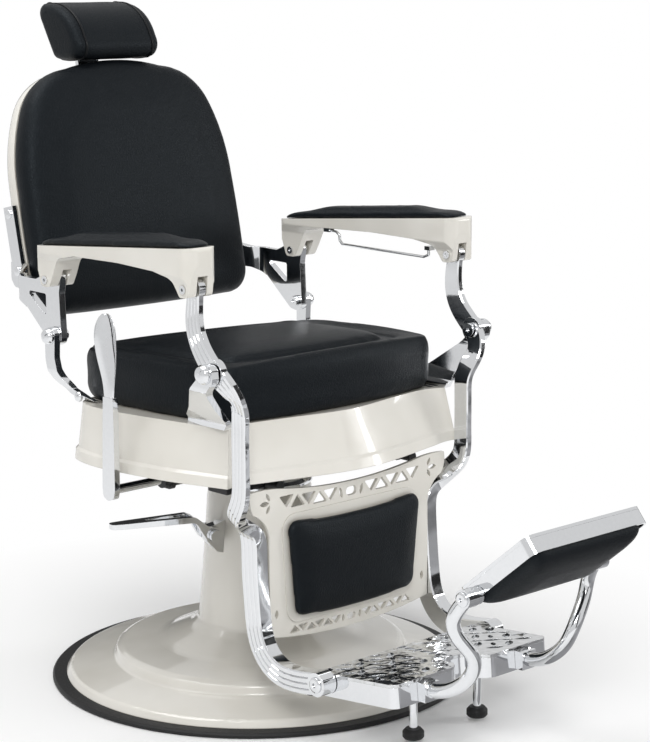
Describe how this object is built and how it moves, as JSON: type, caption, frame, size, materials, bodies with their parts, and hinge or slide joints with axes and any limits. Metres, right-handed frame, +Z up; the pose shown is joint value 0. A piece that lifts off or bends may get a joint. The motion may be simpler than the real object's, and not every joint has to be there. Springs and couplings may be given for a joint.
{
  "type": "hydraulic barber chair",
  "caption": "Swivelling, height-adjustable barber chair with reclining back, linked arms and leg frame, sliding headrest and fold-over kick plate.",
  "frame": {"origin": "centre of the round base's flat underside, on the floor", "axes": "+Z up along the column; the chair faces -Y; the sitter's right is -X"},
  "size_m": [0.6899, 1.1891, 1.0919],
  "materials": {
    "cream_enamel": "gloss",
    "bright_chrome": "polished",
    "black_leather": "fine grain",
    "black_rubber": "matt",
    "dark_steel": "satin",
    "bearing_bronze": "satin",
    "plywood": "plain"
  },
  "bodies": {
    "base": {"base_casting": "cream_enamel", "base_rubber_rim": "black_rubber", "base_plate": "dark_steel", "hydraulic_cylinder": "dark_steel", "cylinder_gland": "bright_chrome", "pump_block": "bright_chrome", "pump_pin": "bright_chrome"},
    "pump_pedal": {"pump_pedal": "bright_chrome"},
    "lift": {"piston_rod": "bright_chrome", "thrust_washer": "bearing_bronze"},
    "seat": {"swivel_hub": "dark_steel", "seat_subframe": "dark_steel", "seat_apron": "cream_enamel", "seat_board": "plywood", "seat_cushion": "black_leather", "front_brace_right": "bright_chrome", "front_brace_left": "bright_chrome", "rear_brace_right": "bright_chrome", "rear_brace_left": "bright_chrome", "front_pivot_pins": "bright_chrome", "rear_pivot_pins": "bright_chrome", "rear_brace_bolts": "bright_chrome", "stop_bumpers": "black_rubber", "recline_housing": "dark_steel"},
    "recline_lever": {"recline_lever": "bright_chrome"},
    "back": {"back_cushion": "black_leather", "back_shell": "cream_enamel", "back_board": "plywood", "back_bracket_right": "bright_chrome", "back_bracket_left": "bright_chrome", "strap_bolts": "bright_chrome", "rear_lug_pins": "bright_chrome", "headrest_guide": "bright_chrome"},
    "headrest_slide": {"headrest_bar": "bright_chrome"},
    "headrest": {"headrest_plate": "bright_chrome", "headrest_pin": "bright_chrome", "headrest_cushion": "black_leather"},
    "arm_right": {"arm_casting_right": "cream_enamel", "arm_pad_right": "black_leather", "front_lug_pin_right": "bright_chrome"},
    "arm_left": {"arm_casting_left": "cream_enamel", "arm_pad_left": "black_leather", "front_lug_pin_left": "bright_chrome", "towel_rail": "bright_chrome"},
    "leg_frame": {"front_post_right": "bright_chrome", "front_post_left": "bright_chrome", "foot_bolts": "bright_chrome", "leg_panel": "cream_enamel", "leg_pad": "black_leather", "footplate_rim": "bright_chrome", "footplate_tread": "bright_chrome", "tube_sockets": "bright_chrome", "kick_tube_right": "bright_chrome", "kick_tube_left": "bright_chrome", "kick_pins": "bright_chrome", "support_feet": "bright_chrome", "foot_pads": "black_rubber"},
    "kick_plate": {"kick_shell": "bright_chrome", "kick_tread": "bright_chrome", "kick_pad": "black_leather"}
  },
  "joints": [
    {"name": "pump_pedal_press", "type": "hinge", "parent": "base", "child": "pump_pedal", "pos_m": [-0.107, 0, 0.25], "axis": [-0.2756, -0.9613, 0], "range_deg": [0, 20], "stiffness_Nm_per_rad": 6, "springref_deg": -11.46},
    {"name": "seat_lift", "type": "slide", "parent": "base", "child": "lift", "axis": [0, 0, 1], "range_m": [0, 0.15]},
    {"name": "seat_swivel", "type": "hinge", "parent": "lift", "child": "seat", "pos_m": [0, 0, 0.345], "axis": [0, 0, 1], "range_deg": [-45, 195]},
    {"name": "recline_release", "type": "hinge", "parent": "seat", "child": "recline_lever", "pos_m": [-0.2, -0.008, 0.357], "axis": [-1, 0, 0], "range_deg": [0, 20], "stiffness_Nm_per_rad": 8, "springref_deg": -8.59},
    {"name": "back_recline", "type": "hinge", "parent": "seat", "child": "back", "pos_m": [0, 0.189, 0.57], "axis": [-1, 0, 0], "range_deg": [0, 40]},
    {"name": "headrest_height", "type": "slide", "parent": "back", "child": "headrest_slide", "axis": [0, 0.2164, 0.9763], "range_m": [0, 0.12]},
    {"name": "headrest_tilt", "type": "hinge", "parent": "headrest_slide", "child": "headrest", "pos_m": [0, 0.459, 1.022], "axis": [-1, 0, 0], "range_deg": [0, 25]},
    {"name": "arm_right_level", "type": "hinge", "parent": "back", "child": "arm_right", "pos_m": [-0.26, 0.186, 0.662], "axis": [-1, 0, 0], "range_deg": [-44, 0]},
    {"name": "arm_left_level", "type": "hinge", "parent": "back", "child": "arm_left", "pos_m": [0.26, 0.186, 0.662], "axis": [-1, 0, 0], "range_deg": [-44, 0]},
    {"name": "leg_raise", "type": "hinge", "parent": "seat", "child": "leg_frame", "pos_m": [0, -0.221, 0.566], "axis": [-1, 0, 0], "range_deg": [0, 33]},
    {"name": "kick_plate_fold", "type": "hinge", "parent": "leg_frame", "child": "kick_plate", "pos_m": [0, -0.606, 0.278], "axis": [-1, 0, 0], "range_deg": [0, 95]}
  ],
  "couplings": [
    {"joint": "arm_right_level", "follows": "back_recline", "ratio": -1.084},
    {"joint": "arm_left_level", "follows": "back_recline", "ratio": -1.084},
    {"joint": "leg_raise", "follows": "back_recline", "ratio": 0.804}
  ]
}
